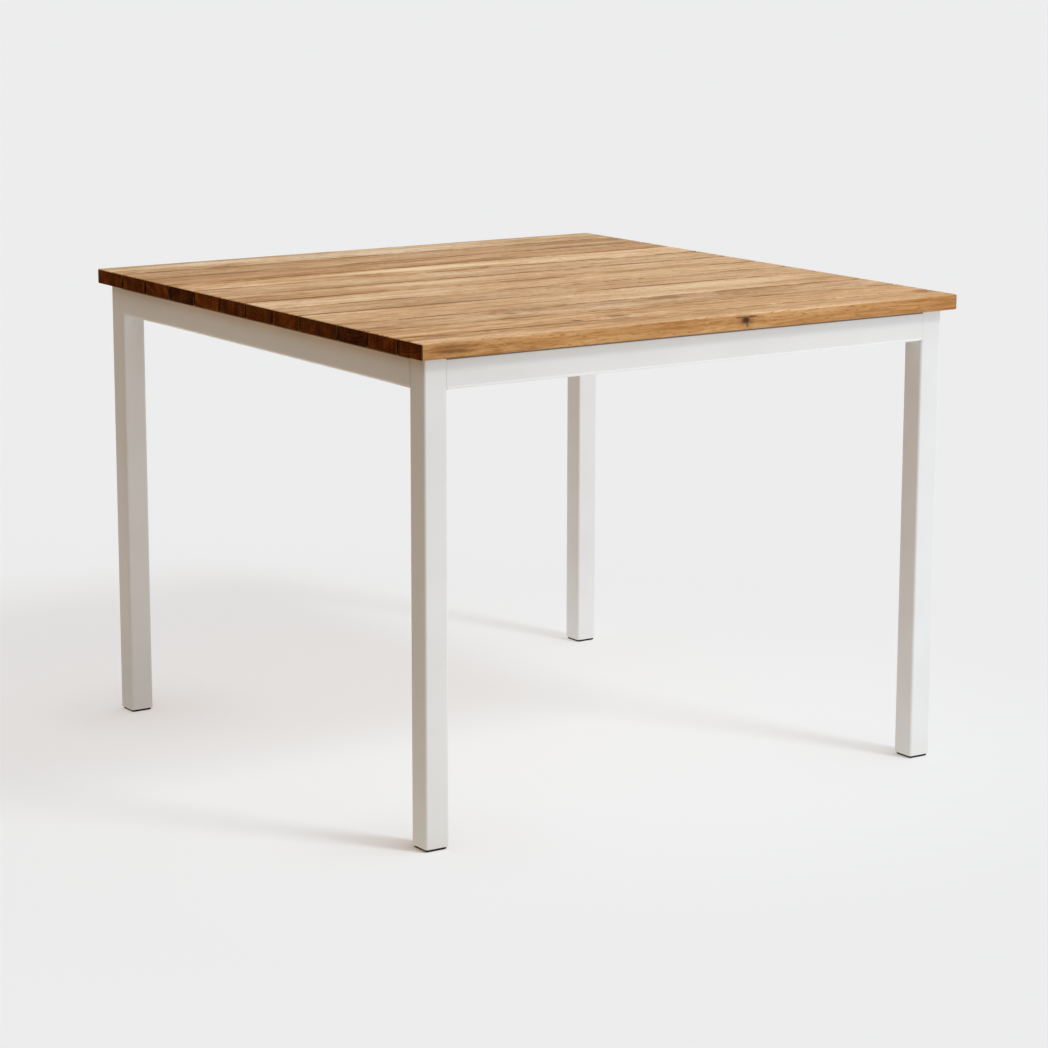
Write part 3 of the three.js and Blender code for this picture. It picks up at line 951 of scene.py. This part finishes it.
def make_bolt(node, zinc):
    """A hexagon bolt: a chamfered head over its washer face, and a threaded shank."""
    sx, sy = corner_signs(node)
    inward = Vector((-sx, -sy, 0)).normalized()
    seat = (PLATE_REACH - PLATE_SETBACK) / math.sqrt(2) + PLATE_THICKNESS
    leg_corner = Vector((sx * LEG_INNER_X, sy * LEG_INNER_Y, APRON_MIDDLE))
    place = turn_to(inward, leg_corner + inward * seat)
    flat = BOLT_ACROSS_FLATS / 2
    crown = 0.93 * flat
    base = BOLT_WASHER_FACE
    top = BOLT_HEAD_HEIGHT + base
    ease = 0.15 * MM
    slope = math.tan(math.radians(30))
    turns = [360 * i / HEAD_STEPS for i in range(HEAD_STEPS)]
    hexagon = [flat / math.cos(math.radians(turn % 60 - 30)) for turn in turns]

    def circle(radius, z):
        return [(radius, z)] * HEAD_STEPS

    rows = (
        circle(flat * 0.95, 0),
        circle(flat * 0.95, base),
        [(radius - ease, base) for radius in hexagon],
        [(radius, base + ease) for radius in hexagon],
        [(radius, top - (radius - crown) * slope) for radius in hexagon],
        circle(crown, top),
        circle(crown * 0.97, top),
        circle(crown * 0.80, top - ease),
    )
    rings = []
    for row in rows:
        rings.append([place @ polar(r, math.radians(turn), z) for turn, (r, z) in zip(turns, row)])
    bm = bmesh.new()
    capped_loft(bm, rings)
    shank = Matrix.Rotation(math.pi, 4, "X") @ Matrix.Translation((0, 0, -SHANK_OVERLAP))
    threaded(bm, BOLT_DIAMETER, BOLT_LENGTH, BOLT_PITCH, 0, place @ shank)
    return finish_piece(object_from(bm, "hex_" + node[4:]), zinc, "zinc_steel", node)


def fuse_by_remesh(piece):
    """Joins overlapping shells of one mesh into one."""
    modifier = piece.modifiers.new("fuse", "REMESH")
    modifier.mode = "VOXEL"
    modifier.voxel_size = 0.12 * MM
    modifier.use_smooth_shade = True
    apply_modifiers(piece)


def screw_mesh():
    """A pan-head screw with a cross recess. Its head hangs below z = 0 and its thread is above."""
    radius = SCREW_HEAD_DIAMETER / 2
    height = SCREW_HEAD_HEIGHT
    flat = radius - SCREW_HEAD_ROUND
    profile = [(radius * 0.25, -height), (flat + 0.2 * MM, -height + 0.02 * MM)]
    profile += arc(flat, -height + SCREW_HEAD_ROUND, SCREW_HEAD_ROUND, -80, 0, 8)
    profile += [(radius, -0.15 * MM), (radius - 0.15 * MM, 0), (radius * 0.5, 0)]
    bm = bmesh.new()
    turned(bm, profile)
    head = object_from(bm, "screw_head")

    bm = bmesh.new()
    mouth = (-height - 1 * MM, 5 * MM, 1.24 * MM)
    bottom = (-height + 1.7 * MM, 1.8 * MM, 0.9 * MM)
    for turn in (0, 90):
        place = Matrix.Rotation(math.radians(turn), 4, "Z")
        rings = []
        for z, across, width in (mouth, bottom):
            outline = rounded_outline(across, width, 0.25 * MM, 3)
            rings.append([place @ Vector((u, v, z)) for u, v in outline])
        capped_loft(bm, rings)
    recess = object_from(bm, "recess")
    fuse_by_remesh(recess)
    combine(head, recess, "DIFFERENCE")

    bm = bmesh.new()
    bm.from_mesh(head.data)
    bpy.data.objects.remove(head)
    place = Matrix.Translation((0, 0, -SHANK_OVERLAP))
    threaded(bm, SCREW_DIAMETER, SCREW_LENGTH, SCREW_PITCH, SCREW_POINT, place, 16, 6)
    return object_from(bm, "screw")


# ---- Glides ----

def ribbed_outline():
    """A square with two ribs on each side, which grip the leg's bore."""
    core = PLUG_SIDE / 2
    reach = LEG_BORE / 2 - 0.3 * MM
    side = [(core, -core)]
    for middle in (-RIB_OFFSET, RIB_OFFSET):
        first, last = middle - RIB_WIDTH / 2, middle + RIB_WIDTH / 2
        side += [(core, first), (reach, first), (reach, last), (core, last)]
    points = []
    for turns in range(4):
        for u, v in side:
            for _ in range(turns):
                u, v = -v, u
            points.append((u, v))
    return points


def make_glide(node, plastic):
    """A pad that narrows to a rounded foot, under a ribbed plug inside the leg."""
    middle, _ = middle_and_size(node)
    levels = []
    for step in range(6):
        angle = math.radians(18 * step)
        rise = 1 - math.cos(angle)
        side = PAD_FLOOR_SIDE - 2 * PAD_ROUND * (1 - math.sin(angle)) + 0.6 * MM * rise
        levels.append((side, PAD_ROUND * rise))
    levels += [
        (PAD_TOP_SIDE - 0.4 * MM, PAD_HEIGHT - 0.5 * MM),
        (PAD_TOP_SIDE, PAD_HEIGHT - 0.25 * MM),
        (PAD_TOP_SIDE - 0.3 * MM, PAD_HEIGHT),
    ]
    bm = bmesh.new()
    capped_loft(bm, [square_ring(middle, side, PAD_CORNER, z) for side, z in levels])
    pad = object_from(bm, "foot_pad_" + node[6:])

    top = PAD_HEIGHT + PLUG_HEIGHT
    outline = ribbed_outline()
    rings = []
    for grow, z in ((1, PAD_HEIGHT - 1 * MM), (1, top - 1 * MM), (0.965, top)):
        rings.append([Vector((middle.x + u * grow, middle.y + v * grow, z)) for u, v in outline])
    bm = bmesh.new()
    capped_loft(bm, rings)
    combine(pad, object_from(bm, "plug"), "UNION")
    return finish_piece(pad, plastic, "black_plastic", node)


# ---- Studio ----

def make_camera():
    angles = (CAMERA_AZIMUTH, CAMERA_ELEVATION, CAMERA_ROLL)
    azimuth, elevation, roll = (math.radians(angle) for angle in angles)
    back = Vector((
        math.sin(azimuth) * math.cos(elevation),
        -math.cos(azimuth) * math.cos(elevation),
        math.sin(elevation),
    ))
    level = Vector((math.cos(azimuth), math.sin(azimuth), 0))
    upright = back.cross(level)
    right = level * math.cos(roll) + upright * math.sin(roll)
    up = upright * math.cos(roll) - level * math.sin(roll)
    camera = bpy.data.objects.new("camera", bpy.data.cameras.new("camera"))
    camera.data.lens = LENS
    camera.data.sensor_width = SENSOR_WIDTH
    camera.data.clip_end = CLIP_END
    bpy.context.scene.collection.objects.link(camera)
    axes = Matrix((right, up, back)).transposed().to_4x4()
    camera.matrix_world = Matrix.Translation(CAMERA_PLACE) @ axes
    bpy.context.scene.camera = camera


def make_world():
    """A pale studio: bright overhead and to the right, dim and warm to the left.

    The camera sees one even pale tone in its place.
    """
    world = bpy.data.worlds.new("studio")
    world.use_nodes = True
    bpy.context.scene.world = world
    g = Graph(world.node_tree)
    direction = g.node("ShaderNodeTexCoord").outputs["Generated"]
    x, _, z = g.parts(direction)
    around = g.ramp(g.mapped(x, -1, 1, smooth=False), WORLD_AROUND)
    glow = g.mix(g.mapped(z, 0.2, 0.75), around, WORLD_OVERHEAD)
    light = g.node("ShaderNodeBackground", {"Color": glow, "Strength": 1.0})
    shown = g.node("ShaderNodeBackground", {"Color": (BACKDROP,) * 3 + (1,), "Strength": 1.0})
    seen = g.node("ShaderNodeLightPath").outputs["Is Camera Ray"]
    mixed = g.node("ShaderNodeMixShader", {0: seen, 1: light.outputs[0], 2: shown.outputs[0]})
    g.node("ShaderNodeOutputWorld", {"Surface": mixed.outputs[0]})


def make_key_light():
    """One large soft lamp, high up at the front, a little to the right."""
    lamp = bpy.data.lights.new("key", "POINT")
    lamp.energy = KEY_POWER
    lamp.shadow_soft_size = KEY_RADIUS
    lamp.color = KEY_COLOR
    key = bpy.data.objects.new("key", lamp)
    bpy.context.scene.collection.objects.link(key)
    key.location = KEY_PLACE


def make_floor_light(name, place, size, power):
    """A dim strip on the floor under an edge, for the light that the floor sends straight up."""
    lamp = bpy.data.lights.new(name, "AREA")
    lamp.shape = "RECTANGLE"
    lamp.size, lamp.size_y = size
    lamp.spread = math.radians(FLOOR_LIGHT_SPREAD)
    lamp.energy = power
    strip = bpy.data.objects.new(name, lamp)
    strip.rotation_euler = (math.pi, 0, 0)
    strip.location = (*place, FLOOR_LIGHT_HEIGHT)
    strip.visible_camera = False
    bpy.context.scene.collection.objects.link(strip)


def make_floor():
    """A pale plain floor, which can't be seen from below.

    It looks equally bright all over except for its shadows: its own glow makes up for what
    the lamp gives less of further away. It sends less light back on the table's left than on
    its right.
    """
    bm = bmesh.new()
    bmesh.ops.create_grid(bm, x_segments=2, y_segments=2, size=FLOOR_SIZE)
    floor = object_from(bm, "studio_floor")
    material, g = new_material("studio_floor")
    place = g.place()
    x, y, _ = g.parts(place)
    foot_x = g.add(g.math("ABSOLUTE", x), -FOOT_X)
    foot_y = g.add(g.math("ABSOLUTE", y), -FOOT_Y)
    from_foot = g.math("SQRT", g.add(g.times(foot_x, foot_x), g.times(foot_y, foot_y)))
    touching = g.mapped(from_foot, *FOOT_TOUCH_REACH, FOOT_TOUCH_SHADE, 0)
    around = g.mapped(from_foot, *FOOT_SHADE_REACH, 1, 0)
    near_foot = g.times(around, g.mapped(x, -0.3, 0.3, *FOOT_SHADES))
    near_foot = g.times(g.add(near_foot, touching), g.mapped(y, -0.3, 0.3, 1, 0.4))
    shade = g.vector("SCALE", FLOOR_SHADE, scale=g.add(near_foot, 1.0))

    towards = Vector(KEY_PLACE).normalized()
    to_lamp = g.vector("SUBTRACT", KEY_PLACE, place)
    facing = g.vector("DOT_PRODUCT", to_lamp, towards)
    away = g.vector("LENGTH", to_lamp)
    lamp = g.times(facing, g.times(g.math("POWER", away, -3.0), KEY_POWER / (4 * math.pi ** 2)))
    light = g.vector("ADD", g.vector("SCALE", KEY_COLOR, scale=lamp), (SKY_ON_FLOOR,) * 3)
    spare = g.vector("SUBTRACT", (BACKDROP,) * 3, g.vector("MULTIPLY", light, shade))
    # Painted light under the table, lifting the table's shade on the floor.
    beneath = g.mapped(g.vector("LENGTH", place), 0, UNDER_TABLE_REACH, 1, 0)
    spare = g.vector("ADD", spare, g.vector("SCALE", UNDER_TABLE, scale=beneath))
    normal = g.vector("NORMALIZE", towards)
    shaded = g.node("ShaderNodeBsdfDiffuse", {"Color": shade, "Normal": normal})
    glow = g.node("ShaderNodeEmission", {"Color": spare, "Strength": 1.0})
    seen = g.node("ShaderNodeAddShader", {0: shaded.outputs[0], 1: glow.outputs[0]}).outputs[0]

    rightness = g.add(x, g.times(y, 0.3))
    returned = g.ramp(g.mapped(rightness, -2.5, 1.5, smooth=False), FLOOR_RETURNS)
    ahead = g.times(g.mapped(y, -0.45, -0.75), g.mapped(x, -0.70, -0.40))
    returned = g.mix(ahead, returned, FRONT_RETURNS)
    from_shadow = g.vector("LENGTH", g.vector("SUBTRACT", place, SHADOW_PLACE))
    returned = g.mix(g.mapped(from_shadow, 0.15, 0.70, 0.42, 0), returned, SHADOW_RETURNS)
    bounce = g.node("ShaderNodeEmission", {"Color": returned, "Strength": 1.0}).outputs[0]
    camera_ray = g.node("ShaderNodeLightPath").outputs["Is Camera Ray"]
    front = g.node("ShaderNodeMixShader", {0: camera_ray, 1: bounce, 2: seen}).outputs[0]
    clear = g.node("ShaderNodeBsdfTransparent").outputs[0]
    behind = g.node("ShaderNodeNewGeometry").outputs["Backfacing"]
    whole = g.node("ShaderNodeMixShader", {0: behind, 1: front, 2: clear}).outputs[0]
    g.node("ShaderNodeOutputMaterial", {"Surface": whole})
    floor.data.materials.append(material)
    floor.location.z = -FLOOR_DROP


# ---- Assembly ----

make_camera()
make_world()
make_key_light()
make_floor_light("strip_left", (-0.495, -0.05), (0.04, 0.72), 0.075)
make_floor_light("strip_front", (0.0, -0.508), (0.84, 0.04), 0.010)
make_floor()
bpy.context.scene.view_settings.view_transform = "Standard"

coat = white_coat_material("white_coat", False)
rail_coat = white_coat_material("white_coat_rail", True)
plastic = black_plastic_material()
zinc = zinc_steel_material()

for index, node in enumerate(SLATS):
    make_slat(index, node)

for corner in CORNERS:
    make_leg("leg_" + corner, coat)
    make_glide("glide_" + corner, plastic)
    make_corner_plate("corner_plate_" + corner, zinc)
    make_bolt("leg_bolt_" + corner, zinc)

for side in ("front", "back"):
    make_apron("apron_" + side, rail_coat, 0)
for side in ("left", "right"):
    make_apron("apron_" + side, rail_coat, 1)
    make_cross_bar("cross_bar_" + side, coat)
    make_weld(f"weld_{side}_front", "cross_bar_" + side, -1, coat)
    make_weld(f"weld_{side}_back", "cross_bar_" + side, 1, coat)

pattern = screw_mesh()
rng = random.Random(7)
for node in SLAT_SCREWS:
    middle, _ = middle_and_size(node)
    low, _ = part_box(node)
    screw = bpy.data.objects.new("pan_" + node[5:], pattern.data)
    bpy.context.scene.collection.objects.link(screw)
    place = Vector((middle.x, middle.y, low.z + SCREW_HEAD_HEIGHT))
    turn = Matrix.Rotation(rng.uniform(0, math.pi), 4, "Z")
    screw.matrix_world = Matrix.Translation(place) @ turn
    finish_piece(screw, zinc, "zinc_steel", node)
bpy.data.objects.remove(pattern)
